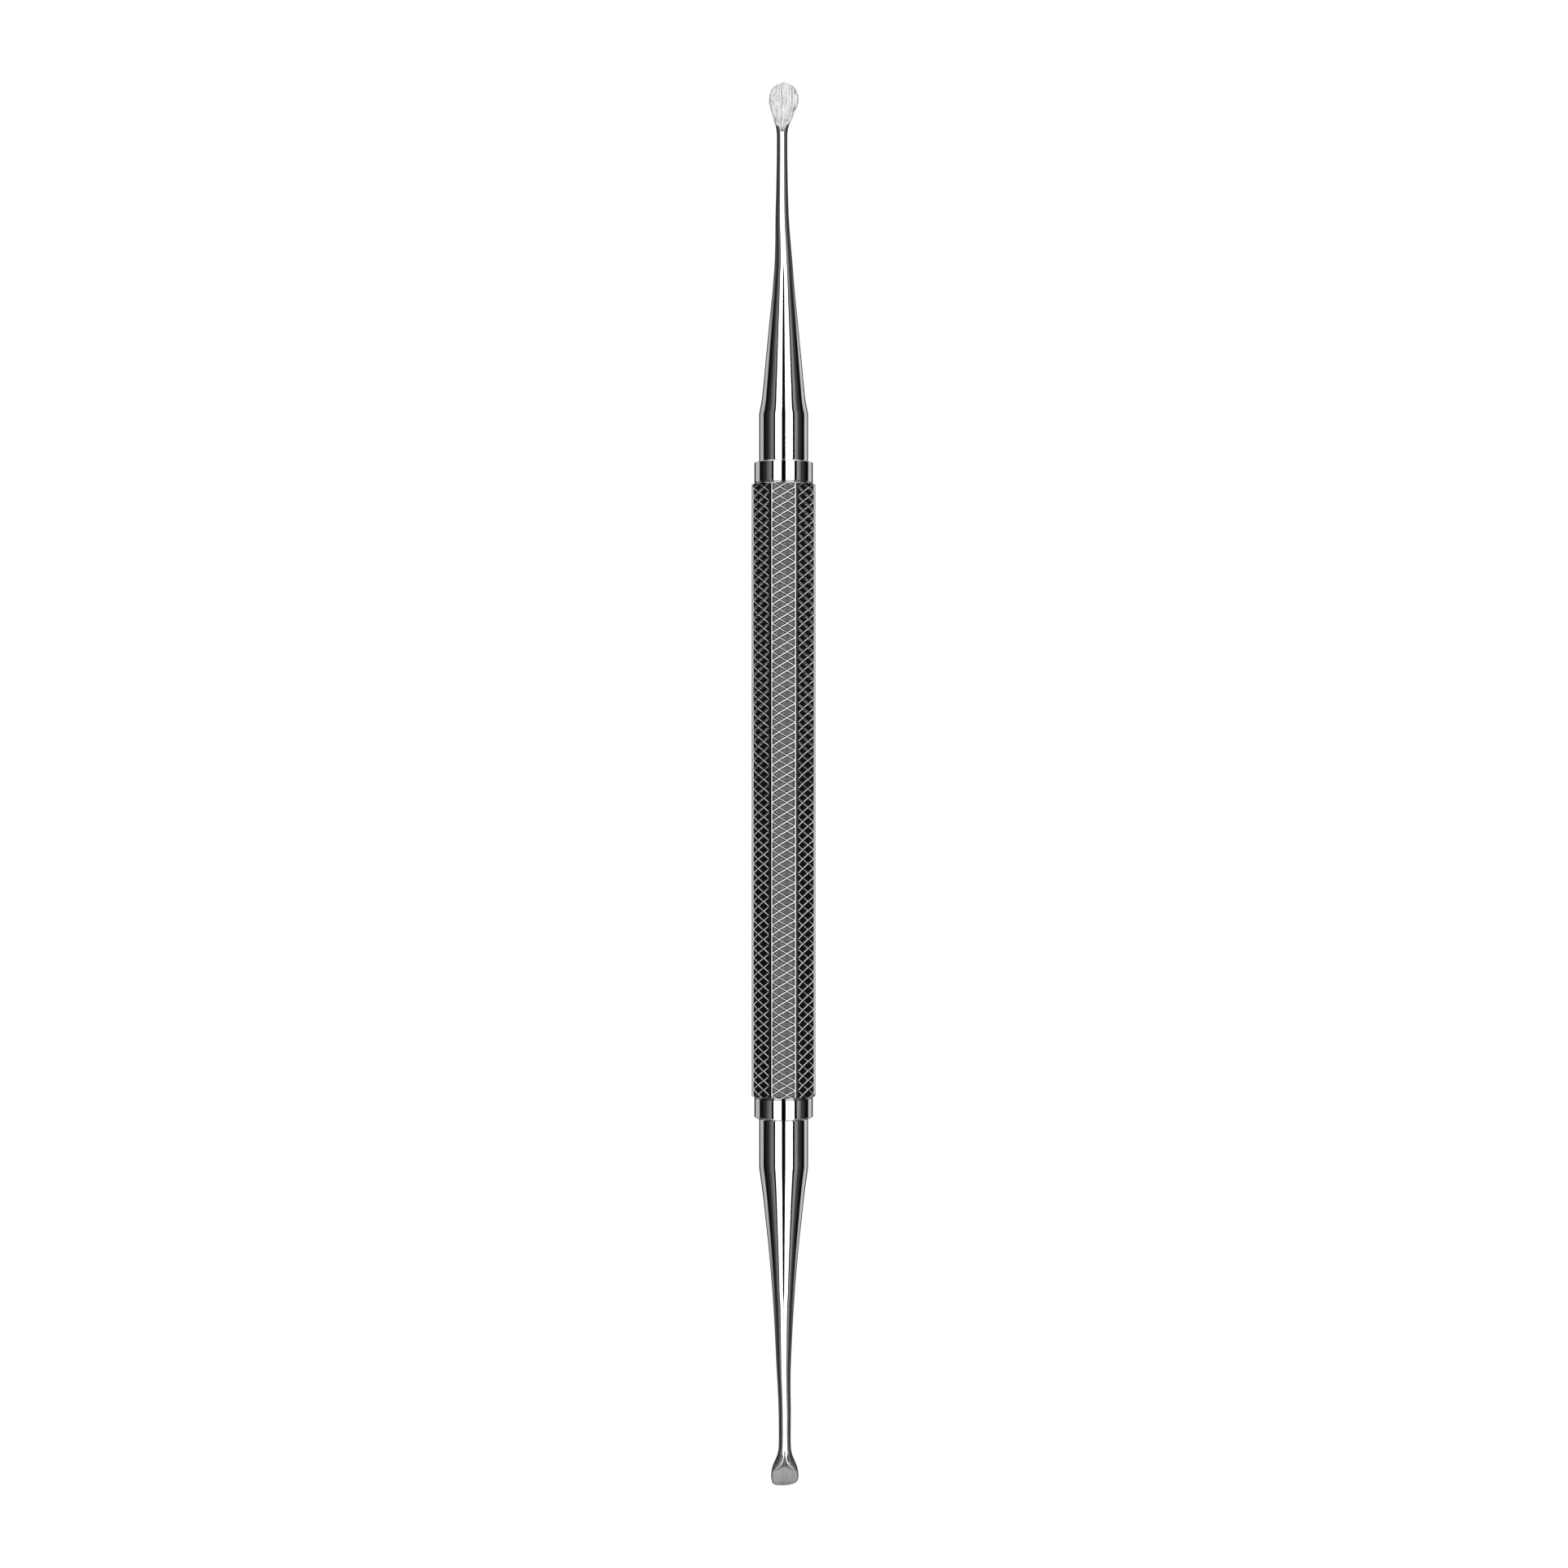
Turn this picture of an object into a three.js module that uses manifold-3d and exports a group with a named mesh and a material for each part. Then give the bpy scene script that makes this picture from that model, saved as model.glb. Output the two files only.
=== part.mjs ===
// Double-ended cuticle pusher: a hollow octagonal knurled grip, a polished collar plugged into each end of
// it, and two tapered shanks, one ending in a file paddle and one in a small scoop.
// Millimetres. The tool lies on a table along Y with the file end at +Y, and +Z is up.
// The origin is on the table, below the middle of the tool's length.
import * as THREE from "three";
import { mergeVertices } from "three/addons/utils/BufferGeometryUtils.js";
import Module from "manifold-3d";

const wasm = await Module();
wasm.setup();

// Overall
const LENGTH = 145;
const FILE_TIP = LENGTH / 2;
const SCOOP_TIP = -LENGTH / 2;
const FIT_GAP = 0.02; // radial gap of every pressed or glued fit

// Grip: octagonal tube with a narrow flat along each corner, and a turned chamfer at both ends
const GRIP_FLATS = 6.6; // across flats
const FACET_HALF = 1.26; // half width of a facet
const GRIP_TOP = 31.06;
const GRIP_BOTTOM = -32.36;
const GRIP_LENGTH = GRIP_TOP - GRIP_BOTTOM;
const FACET_REACH = Math.hypot(GRIP_FLATS / 2, FACET_HALF); // from the axis to a facet's edge
const GRIP_BORE_RADIUS = 2.2;
const CHAMFER_FACE_RADIUS = 3.0; // where the chamfer meets the end face
const CHAMFER_LENGTH = 0.33;
const CHAMFER_SLOPE = Math.tan(Math.PI / 3); // radius gained per millimetre away from the end face
const BORE_OVERRUN = 1; // length of the boring tool past each end face
const AXIS_HEIGHT = GRIP_FLATS / 2; // the tool's axis above the table

// Collars: a visible ring with a spigot inside the grip, bored through for the shank's tang
const COLLAR_RADIUS = 3.03;
const COLLAR_LENGTH = 2.1;
const COLLAR_CHAMFER = 0.2;
const SPIGOT_RADIUS = GRIP_BORE_RADIUS - FIT_GAP;
const SPIGOT_LENGTH = 9;
const SPIGOT_CHAMFER = 0.3;
const SOCKET_RADIUS = 1.2;

// Shanks: tang, plain base and a hollow-ground taper down to the neck
const TANG_LENGTH = 12.5;
const TANG_CHAMFER = 0.3;
const BASE_RADIUS = 2.55;
const BASE_LENGTH = 4.75;
const BASE_CHAMFER = 0.12;
const SHOULDER_GAP = 0.03; // between the shoulder and the collar's face
const FILE_NECK_RADIUS = 0.55;
const FILE_NECK_START = 65.9;
const FILE_TAPER_POWER = 1.86;
const SCOOP_NECK_RADIUS = 0.6;
const SCOOP_NECK_START = -67;
const SCOOP_TAPER_POWER = 1.92;

// File paddle, with an abrasive layer on each flat
const PADDLE_ROOT = 67.2;
const PADDLE_WIDEST = 70.75;
const PADDLE_HALF_WIDTH = 1.52;
const PADDLE_HALF_THICKNESS = 0.3;
const PADDLE_TIP_HALF_WIDTH = 0.12;
const PADDLE_TIP_HALF_THICKNESS = 0.2;
const FLAT_RUN = 1.3; // length over which the ground flat runs out into the round neck
const GRIT_THICKNESS = 0.1;
const GRIT_MARGIN = 0.1; // bare steel left round the layer
const GRIT_ROOT_MARGIN = 0.35; // the same at the paddle's root
const GRIT_MIN_HALF_WIDTH = 0.05; // of the layer's pointed root and of its tip
const GRIT_GAP = 0.004;

// Scoop
const SCOOP_ROOT = -68.7;
const SCOOP_WIDEST = -71.35;
const SCOOP_HALF_WIDTH = 1.41;
const SCOOP_HALF_THICKNESS = 0.42;
const SCOOP_LIP_THINNING = 0.26; // how much of that is ground away at the lip
const SCOOP_LIP_POWER = 3; // how late the thinning sets in past the widest point
const SCOOP_TIP_HALF_WIDTH = 0.3;
const SCOOP_END_POWER = 2.4; // 2 is half an ellipse, and more is blunter
const SCOOP_FLATTENING = [0, 0.5]; // where the round neck turns into the thin scoop, as shares of its length
const SCOOP_LIFT = 0.3; // rise of the scoop's lip above the neck's axis
const SCOOP_SKEW = 0.26; // how far the lip's rounded end leans towards -X
const SCOOP_SKEW_POWER = 5;
const BOWL_DEPTH = 0.36; // taken out of the scoop's full section at its middle
const BOWL_START = [0.12, 0.6]; // where the bowl deepens, as shares of the scoop's length

// The necks are slightly bent sideways, away from the grip's axis
const FILE_NECK_SWAY = -0.16;
const FILE_BEND = [53, 59.5]; // the part of the taper that carries the bend
const FILE_SWAY_BACK = 0.85; // the share of the sway that the paddle's widest point takes back
const SCOOP_NECK_SWAY = 0.09;
const SCOOP_BEND = [59.5, 65.5]; // in distance from the middle of the tool

// Faceting
const ROUND_SIDES = 32;
const SHANK_SIDES = 28;
const TAPER_STEPS = 14;
const TIP_STEPS = 10;

const steel = (color, roughness) => new THREE.MeshStandardMaterial({ color, roughness, metalness: 1 });
const POLISHED = steel(0xc9cbce, 0.12);
const KNURLED = steel(0x4b4c4f, 0.4);
const GRIT = new THREE.MeshStandardMaterial({ color: 0xe4e5e6, roughness: 0.7, metalness: 0.3 });

const { clamp, lerp, smoothstep } = THREE.MathUtils;

// A closed surface as a solid that can be joined to others or cut.
function solidOf(geometry) {
  const bare = geometry.clone();
  bare.deleteAttribute("normal");
  bare.deleteAttribute("uv");
  const merged = mergeVertices(bare, 1e-4);
  return new wasm.Manifold(
    new wasm.Mesh({
      numProp: 3,
      vertProperties: merged.attributes.position.array,
      triVerts: new Uint32Array(merged.index.array),
    }),
  );
}

function geometryOf(solid) {
  const mesh = solid.getMesh();
  const geometry = new THREE.BufferGeometry();
  geometry.setAttribute("position", new THREE.BufferAttribute(mesh.vertProperties, 3));
  geometry.setIndex(new THREE.BufferAttribute(mesh.triVerts, 1));
  geometry.computeVertexNormals();
  return geometry;
}

// A body of revolution about Y from [radius, y] pairs.
function turned(profile) {
  return new THREE.LatheGeometry(
    profile.map(([radius, y]) => new THREE.Vector2(radius, y)),
    ROUND_SIDES,
  );
}

// A body along Y through stations, in order of falling y. Each section is an ellipse of half sizes wide and
// thick about (x, z). It is planed flat at plus and minus flat where that is given, and dished by bowl on its
// upper side.
function lofted(stations) {
  const steps = stations.length - 1;
  const geometry = new THREE.CylinderGeometry(1, 1, 1, SHANK_SIDES, steps);
  const position = geometry.attributes.position;
  for (let i = 0; i < position.count; i++) {
    const station = stations[Math.round((0.5 - position.getY(i)) * steps)];
    const { y, wide, thick = wide, x = 0, z = 0, flat = Infinity, bowl = 0 } = station;
    const rise = position.getZ(i);
    const depth = clamp(rise * thick, -flat, flat) - bowl * Math.max(rise, 0) ** 2;
    position.setXYZ(i, x + position.getX(i) * wide, y, z + depth);
  }
  return geometry;
}

// Numbers from 0 to 1 in equal steps, with the last left out.
const shares = (steps) => Array.from({ length: steps }, (_, i) => i / steps);

function gripTube() {
  const outline = new THREE.Shape();
  const halfTurn = Math.atan(FACET_HALF / (GRIP_FLATS / 2));
  for (let facet = 0; facet < 8; facet++) {
    for (const side of [-1, 1]) {
      const angle = (facet * Math.PI) / 4 + side * halfTurn;
      const point = [FACET_REACH * Math.cos(angle), FACET_REACH * Math.sin(angle)];
      if (facet === 0 && side < 0) outline.moveTo(...point);
      else outline.lineTo(...point);
    }
  }
  outline.closePath();
  const bar = new THREE.ExtrudeGeometry(outline, { depth: GRIP_LENGTH, bevelEnabled: false });
  bar.rotateX(-Math.PI / 2).translate(0, GRIP_BOTTOM, 0);
  const full = CHAMFER_FACE_RADIUS + CHAMFER_LENGTH * CHAMFER_SLOPE;
  const chamfers = turned([
    [0, GRIP_BOTTOM],
    [CHAMFER_FACE_RADIUS, GRIP_BOTTOM],
    [full, GRIP_BOTTOM + CHAMFER_LENGTH],
    [full, GRIP_TOP - CHAMFER_LENGTH],
    [CHAMFER_FACE_RADIUS, GRIP_TOP],
    [0, GRIP_TOP],
  ]);
  const boreBottom = GRIP_BOTTOM - BORE_OVERRUN;
  const boreTop = GRIP_TOP + BORE_OVERRUN;
  const bore = turned([
    [0, boreBottom],
    [GRIP_BORE_RADIUS, boreBottom],
    [GRIP_BORE_RADIUS, boreTop],
    [0, boreTop],
  ]);
  return geometryOf(solidOf(bar).intersect(solidOf(chamfers)).subtract(solidOf(bore)));
}

// A collar whose ring sits on the grip's end face at y = face, and points away from it in direction side.
function collar(face, side) {
  const ring = face + side * COLLAR_LENGTH;
  const spigot = face - side * SPIGOT_LENGTH;
  const profile = [
    [SOCKET_RADIUS, spigot],
    [SPIGOT_RADIUS - SPIGOT_CHAMFER, spigot],
    [SPIGOT_RADIUS, spigot + side * SPIGOT_CHAMFER],
    [SPIGOT_RADIUS, face],
    [COLLAR_RADIUS - COLLAR_CHAMFER, face],
    [COLLAR_RADIUS, face + side * COLLAR_CHAMFER],
    [COLLAR_RADIUS, ring - side * COLLAR_CHAMFER],
    [COLLAR_RADIUS - COLLAR_CHAMFER, ring],
    [SOCKET_RADIUS, ring],
    [SOCKET_RADIUS, spigot],
  ];
  return turned(side > 0 ? profile : profile.reverse());
}

// Stations from the tang's end to the start of the neck, for a shank whose shoulder sits on a collar at
// y = shoulder, and which runs in direction side along Y.
function tangToNeck({ shoulder, side, neckStart, neckRadius, power, swayAt }) {
  const tang = SOCKET_RADIUS - FIT_GAP;
  const start = shoulder + side * SHOULDER_GAP;
  const taperStart = shoulder + side * BASE_LENGTH;
  const stations = [
    { y: shoulder - side * TANG_LENGTH, wide: tang - TANG_CHAMFER },
    { y: shoulder - side * (TANG_LENGTH - TANG_CHAMFER), wide: tang },
    { y: start, wide: tang },
    { y: start, wide: BASE_RADIUS - BASE_CHAMFER },
    { y: start + side * BASE_CHAMFER, wide: BASE_RADIUS },
  ];
  for (const share of shares(TAPER_STEPS)) {
    const y = lerp(taperStart, neckStart, share);
    const wide = neckRadius + (BASE_RADIUS - neckRadius) * (1 - share) ** power;
    stations.push({ y, wide, x: swayAt(y) });
  }
  return stations;
}

function fileSway(y) {
  const bent = smoothstep(y, ...FILE_BEND);
  const back = FILE_SWAY_BACK * smoothstep(y, PADDLE_ROOT, PADDLE_WIDEST);
  return FILE_NECK_SWAY * (bent - back);
}

const scoopSway = (y) => SCOOP_NECK_SWAY * smoothstep(-y, ...SCOOP_BEND);

// Half width of the file paddle: a cosine flare from the neck, then half an ellipse.
function paddleHalfWidth(y) {
  if (y > PADDLE_WIDEST) {
    const share = (y - PADDLE_WIDEST) / (FILE_TIP - PADDLE_WIDEST);
    return PADDLE_HALF_WIDTH * Math.sqrt(Math.max(0, 1 - share * share));
  }
  const share = clamp((PADDLE_WIDEST - y) / (PADDLE_WIDEST - PADDLE_ROOT), 0, 1);
  return lerp(FILE_NECK_RADIUS, PADDLE_HALF_WIDTH, Math.cos((share * Math.PI) / 2) ** 2);
}

// Height of the paddle's ground flat above its middle plane.
function flatHeight(y) {
  return lerp(FILE_NECK_RADIUS, PADDLE_HALF_THICKNESS, smoothstep(y, PADDLE_ROOT, PADDLE_ROOT + FLAT_RUN));
}

// y of each paddle station, closer together towards the round tip.
function paddleYs(from) {
  return shares(TIP_STEPS).map((share) => lerp(from, FILE_TIP, Math.sin((share * Math.PI) / 2)));
}

function fileShank() {
  const stations = tangToNeck({
    shoulder: GRIP_TOP + COLLAR_LENGTH,
    side: 1,
    neckStart: FILE_NECK_START,
    neckRadius: FILE_NECK_RADIUS,
    power: FILE_TAPER_POWER,
    swayAt: fileSway,
  });
  stations.push({ y: FILE_NECK_START, wide: FILE_NECK_RADIUS, x: FILE_NECK_SWAY });
  for (const y of paddleYs(PADDLE_ROOT)) {
    const wide = paddleHalfWidth(y);
    stations.push({ y, wide, thick: FILE_NECK_RADIUS, x: fileSway(y), flat: flatHeight(y) });
  }
  stations.push({
    y: FILE_TIP,
    wide: PADDLE_TIP_HALF_WIDTH,
    thick: PADDLE_TIP_HALF_THICKNESS,
    x: fileSway(FILE_TIP),
  });
  return lofted(stations.reverse());
}

// One abrasive layer, on the paddle's +Z flat (side 1) or its -Z flat (side -1).
function gritLayer(side) {
  const half = GRIT_THICKNESS / 2;
  const from = PADDLE_ROOT + GRIT_ROOT_MARGIN;
  const stations = paddleYs(from).map((y) => {
    const runOut = smoothstep(y, from - GRIT_MARGIN, from + FLAT_RUN);
    return {
      y: Math.min(y, FILE_TIP - GRIT_MARGIN),
      wide: Math.max(GRIT_MIN_HALF_WIDTH, (paddleHalfWidth(y) - GRIT_MARGIN) * Math.sqrt(runOut)),
      thick: GRIT_THICKNESS,
      x: fileSway(y),
      z: side * (flatHeight(y) + GRIT_GAP + half),
      flat: half,
    };
  });
  return lofted(stations.reverse());
}

// Half width of the scoop: a cosine flare from the neck, then a blunt rounded end.
function scoopHalfWidth(y) {
  if (y < SCOOP_WIDEST) {
    const share = (SCOOP_WIDEST - y) / (SCOOP_WIDEST - SCOOP_TIP);
    return SCOOP_HALF_WIDTH * Math.max(0, 1 - share ** SCOOP_END_POWER) ** (1 / SCOOP_END_POWER);
  }
  const share = clamp((y - SCOOP_WIDEST) / (SCOOP_ROOT - SCOOP_WIDEST), 0, 1);
  return lerp(SCOOP_NECK_RADIUS, SCOOP_HALF_WIDTH, Math.cos((share * Math.PI) / 2) ** 2);
}

function scoopStation(y) {
  const along = clamp((SCOOP_ROOT - y) / (SCOOP_ROOT - SCOOP_TIP), 0, 1);
  const pastWidest = clamp((SCOOP_WIDEST - y) / (SCOOP_WIDEST - SCOOP_TIP), 0, 1);
  const lip = pastWidest ** SCOOP_LIP_POWER;
  const body = lerp(SCOOP_NECK_RADIUS, SCOOP_HALF_THICKNESS, smoothstep(along, ...SCOOP_FLATTENING));
  return {
    y,
    wide: Math.max(SCOOP_TIP_HALF_WIDTH, scoopHalfWidth(y)),
    thick: body - SCOOP_LIP_THINNING * lip,
    x: SCOOP_NECK_SWAY - SCOOP_SKEW * pastWidest ** SCOOP_SKEW_POWER,
    z: SCOOP_LIFT * along * along,
    bowl: BOWL_DEPTH * smoothstep(along, ...BOWL_START) * (1 - lip),
  };
}

function scoopShank() {
  const stations = tangToNeck({
    shoulder: GRIP_BOTTOM - COLLAR_LENGTH,
    side: -1,
    neckStart: SCOOP_NECK_START,
    neckRadius: SCOOP_NECK_RADIUS,
    power: SCOOP_TAPER_POWER,
    swayAt: scoopSway,
  });
  stations.push({ y: SCOOP_NECK_START, wide: SCOOP_NECK_RADIUS, x: SCOOP_NECK_SWAY });
  for (const share of shares(TIP_STEPS)) {
    stations.push(scoopStation(lerp(SCOOP_ROOT, SCOOP_TIP, Math.sin((share * Math.PI) / 2))));
  }
  stations.push(scoopStation(SCOOP_TIP));
  return lofted(stations);
}

const tool = new THREE.Group();
tool.position.z = AXIS_HEIGHT;

function addPiece(name, geometry, material) {
  const mesh = new THREE.Mesh(geometry, material);
  mesh.name = name;
  tool.add(mesh);
}

addPiece("grip_tube", gripTube(), KNURLED);
addPiece("file_end_collar", collar(GRIP_TOP, 1), POLISHED);
addPiece("scoop_end_collar", collar(GRIP_BOTTOM, -1), POLISHED);
addPiece("file_shank", fileShank(), POLISHED);
addPiece("scoop_shank", scoopShank(), POLISHED);
addPiece("file_grit_front", gritLayer(1), GRIT);
addPiece("file_grit_back", gritLayer(-1), GRIT);

export default tool;
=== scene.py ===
import math

import bmesh
import bpy
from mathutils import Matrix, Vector, noise


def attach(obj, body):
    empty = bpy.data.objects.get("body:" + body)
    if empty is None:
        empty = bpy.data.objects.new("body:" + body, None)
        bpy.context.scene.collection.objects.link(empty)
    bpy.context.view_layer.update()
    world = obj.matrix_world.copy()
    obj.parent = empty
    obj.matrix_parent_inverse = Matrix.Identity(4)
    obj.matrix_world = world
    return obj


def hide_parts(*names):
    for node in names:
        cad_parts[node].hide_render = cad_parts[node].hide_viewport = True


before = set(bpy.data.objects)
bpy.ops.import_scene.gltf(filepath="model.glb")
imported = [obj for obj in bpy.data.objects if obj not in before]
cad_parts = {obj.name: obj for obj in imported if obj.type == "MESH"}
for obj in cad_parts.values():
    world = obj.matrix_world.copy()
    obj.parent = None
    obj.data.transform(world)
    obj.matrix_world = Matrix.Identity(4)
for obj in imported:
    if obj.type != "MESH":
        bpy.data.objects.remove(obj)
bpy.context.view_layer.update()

# Sizes are in millimetres and angles in radians. Points are about the tool's axis, with the file end at +Y.
MM = 0.001
AXIS_HEIGHT = 3.3  # above the floor
HALF_LENGTH = 72.5
FILE_TIP = 72.42

# Grip
GRIP_FLATS = 6.6
GRIP_TOP = 31.06
GRIP_BOTTOM = -32.36
GRIP_BORE = 2.2
FLAT_HALF = 1.14  # half width of a facet, up to the rounding into the narrow flat along the corner
ROUNDING = 0.25
EIGHTH = math.pi / 8  # the corner's flat leans this far from the facets on both sides of it
CORNER_FLAT = (
    math.tan(EIGHTH) * (GRIP_FLATS / 2 - ROUNDING * (1 - math.cos(EIGHTH)))
    - FLAT_HALF
    - ROUNDING * math.sin(EIGHTH)
) * math.cos(EIGHTH)  # half width of that flat
CORNER_ARC = FLAT_HALF + ROUNDING * EIGHTH + CORNER_FLAT  # from a facet's middle to the corner
END_FACE_RADIUS = 3.0  # where the turned chamfer meets the end face
END_LIP = 0.03  # width of the end face's outer ring, which keeps its edge crisp
END_CONE = math.tan(math.radians(60))  # radius gained per millimetre away from the end face
END_CUT_STEPS = 10  # straight cuts that make up the chamfer's curved edge on a facet

# Knurl: raised ridges in a diamond lattice, three columns to a facet
KNURL_PITCH = 0.965  # along the axis, between crossings of one column
KNURL_PHASE = 0.015
KNURL_EDGE = 1.16  # the lattice ends here, and a smooth band rounds the corner
KNURL_COLUMN = 0.41  # the two inner columns of crossings stand this far from the middle of the facet
KNURL_DRIFT = (-0.07, 0.09)  # how far the columns stand sideways in the lower half, and the gain above it
RIDGE_HALF = {"rising": 0.053, "falling": 0.04, "border": 0.012, "end": 0.03}
SIDE_RIDGES = 0.64  # the ridges of the slanting facets are less worn, so thinner by this factor
SIDE_PIT_SHADE = 0.925  # the tint of those facets' pit floors, which makes them darker than the front's and back's as painted shade
# Towards the file end one set of the slanting facets' ridges was rolled twice, and is split along its middle
SPLIT_FROM, SPLIT_FULL = -8, 6
SPLIT_HALF = 0.1  # half width of a split ridge
# Place along a ridge, and how far it is split there: it is whole again at both its crossings
SPLIT_STEPS = ((0.07, 0.0), (0.2, 1.0), (0.8, 1.0), (0.93, 0.0))
# Share of a split ridge's half width, and how much lower it is there than a whole one
SPLIT_RINGS = ((0.0, 0.045), (0.35, 0.045), (0.68, -0.03))
SPLIT_GROOVE_SHADE = 0.5  # tint of the groove between the halves, painted nearly black as shade
GROOVE_SHADE_RINGS = 2  # the rings that lie in that groove and take its painted shade
PIT_WALL = 0.08  # width of the steep part of a pit's wall
PIT_DEPTH = 0.15
PIT_FIT = 0.85  # the most of a cell's half width that its ridges and walls take up
DEPTH_VARIES = 0.12  # share of a pit's depth
# Rings of a pit from the ridge's middle inwards: share of the ridge's half width, of the wall, and of the
# depth. A ridge is shaped like a roof, and stands on a steep wall.
PIT_RINGS = (
    (0.0, 0.0, 0.0), (0.16, 0.0, 0.02), (0.82, 0.0, 0.2), (1.0, 0.0, 0.28),
    (1.0, 1.0, 0.88), (1.0, 1.5, 0.97), (1.0, 2.0, 1.0),
)
CORNER_PULL = 0.025  # how much further each ring's corners are drawn in
BARE_EDGE = 0.15  # an edge shorter than this has no points between its corners
BAND_STEPS = 16
BAND_GAP = 0.01  # the least distance between rows of points across a corner, near the ends
CORNER_SHADE = 0.7  # tint of the line of painted shade along a corner
CORNER_SHADE_LEAN = (23, 26)  # degrees from the front or back flat's middle, between which it runs

# Collars and shank bases
COLLAR_RADIUS = 3.03
COLLAR_LENGTH = 2.1
COLLAR_FOOT = (0.05, 0.06)  # the small bevel next to the grip: how wide, and how long
BEVEL_STEEPNESS = 0.7  # length of the outer bevel, as a share of its width
COLLAR_ROUNDING = 0.05
SPIGOT_RADIUS = 2.1
SPIGOT_LENGTH = 2.0
SOCKET_RADIUS = 1.25
BASE_RADIUS = 2.54
BASE_LENGTH = 4.3
BASE_BEVEL = (0.07, 0.1)  # how wide and how long
BASE_ROUNDING = 0.08
TANG_RADIUS = 1.18
TANG_LENGTH = 1.6
TANG_POINT = (1.0, 0.2)  # radius of the tang's end, and length of its chamfer
SHOULDER_GAP = 0.03
ROUND_SIDES = 160
TAPER_STEPS = 110

# Radius of each shank against distance from the middle of the tool, from its plain base to the neck
FILE_TAPER_START, SCOOP_TAPER_START = 37.9, 39.2
FILE_TAPER = (
    (38.15, 2.54), (38.6, 2.45), (39.6, 2.27), (41.0, 2.12), (43.0, 1.925), (45.5, 1.69), (48.0, 1.45),
    (50.5, 1.195), (53.0, 0.985), (56.0, 0.80), (59.5, 0.665), (63.0, 0.585), (66.2, 0.55),
)
SCOOP_TAPER = (
    (39.45, 2.54), (39.9, 2.49), (41.0, 2.335), (42.5, 2.14), (44.8, 1.885), (47.3, 1.62), (49.5, 1.41),
    (52.5, 1.165), (55.5, 0.97), (58.5, 0.825), (62.0, 0.685), (65.0, 0.64), (67.0, 0.625),
)

# File paddle: its half width against distance from the middle of the tool
PADDLE_OUTLINE = (
    (66.6, 0.55), (67.2, 0.565), (67.53, 0.61), (67.87, 0.70), (68.2, 0.82), (68.54, 0.945), (68.87, 1.045),
    (69.21, 1.16), (69.54, 1.285), (69.88, 1.415), (70.25, 1.50), (70.7, 1.525), (71.1, 1.48), (71.4, 1.39),
    (71.73, 1.235), (71.98, 1.03), (72.18, 0.75), (72.33, 0.42), (72.4, 0.16), (72.42, 0.05),
)
# Half height of the paddle's flats, and how much of its width the rasp coat covers
PADDLE_FLAT = (
    (67.3, 0.55), (67.53, 0.52), (67.7, 0.48), (67.95, 0.43), (68.2, 0.36), (68.6, 0.3), (72.5, 0.3),
)
RASP_REACH = (
    (67.24, 0.16), (67.27, 0.31), (67.38, 0.45), (67.55, 0.6), (67.85, 0.78), (68.1, 0.93), (68.3, 1.0),
)
PADDLE_ROOT = 67.2
PADDLE_WIDEST = 70.75
PADDLE_HALF_WIDTH = 1.525
PADDLE_STEPS = 40
NOTCH = (69.45, 0.45, 0.09)  # on the right of the paddle: place, half length and depth
FILE_NECK = 0.55
RASP_WRAP = 0.06  # how far the coat stands out past the paddle's edge
RASP_THICKNESS = 0.09
RASP_START = 67.24
RASP_FULL = 68.5
RASP_ROWS, RASP_COLUMNS, RASP_BACK_COLUMNS = 170, 130, 10
# Heights of the coat's nodules, of its streaks and of its grain, and depth of its deepest groove
LUMP_HEIGHT, STREAK_HEIGHT, GRAIN_HEIGHT, DEEPEST_GROOVE = 0.026, 0.02, 0.012, 0.055
RAGGED_EDGE = 0.035
COAT_LEVEL = 0.39  # height of the coat's face above the middle of the paddle

# Scoop, against distance from the middle of the tool: its half width, and the bowl's depth and half width
# as a share of the scoop's
SCOOP_OUTLINE = (
    (67.0, 0.625), (68.2, 0.635), (68.7, 0.67), (69.0, 0.73), (69.3, 0.81), (69.62, 0.945),
    (69.96, 1.09), (70.29, 1.235), (70.63, 1.33), (70.96, 1.395), (71.3, 1.42), (71.63, 1.395),
    (71.82, 1.34), (71.98, 1.26), (72.12, 1.12), (72.22, 0.92), (72.3, 0.6), (72.335, 0.35),
)
SCOOP_TIP = 72.335
BOWL_DEPTH = (
    (68.7, 0.0), (69.3, 0.04), (69.8, 0.12), (70.25, 0.27), (70.6, 0.34), (71.9, 0.34), (72.4, 0.12),
)
BOWL_REACH = (
    (68.7, 0.11), (69.5, 0.18), (69.9, 0.26), (70.29, 0.34), (70.5, 0.5), (70.75, 0.82), (71.1, 0.93),
    (72.5, 0.93),
)
SCOOP_ROOT = 68.7
SCOOP_WIDEST = 71.35
SCOOP_NECK = 0.60
SCOOP_THICKNESS = 0.42
SCOOP_LIP_THINNING = 0.26
SCOOP_LIFT = 0.3
SCOOP_TENT = 0.6  # how far the top of the scoop's root is ridged instead of round
SCOOP_SKEW = 0.33  # how far the lip's flat end leans to the left
SCOOP_STEPS = 110

NECK_CREST = math.radians(6.5)  # half angle of the faint crest along the top of each neck
FILE_SATIN_SHADE = 0.93  # tint of the necks' sides: rougher satin steel, with painted shade darkening it nearly to black
# The scoop neck's sides turn satin grey, with a little painted shade
SCOOP_SATIN_SHADE = 0.7
SATIN_SHADE_EDGE = (0.7, 0.84)  # shares of a neck's half width between which its side turns satin and takes its painted shade
FILE_SWAY = -0.16  # each neck is set slightly to one side
FILE_SWAY_BACK = 1.15  # the share of that which the paddle's widest place takes back
SCOOP_SWAY = 0.12


# ---------------------------------------------------------------- numbers

def clamp(value, low=0.0, high=1.0):
    return max(low, min(high, value))


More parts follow.
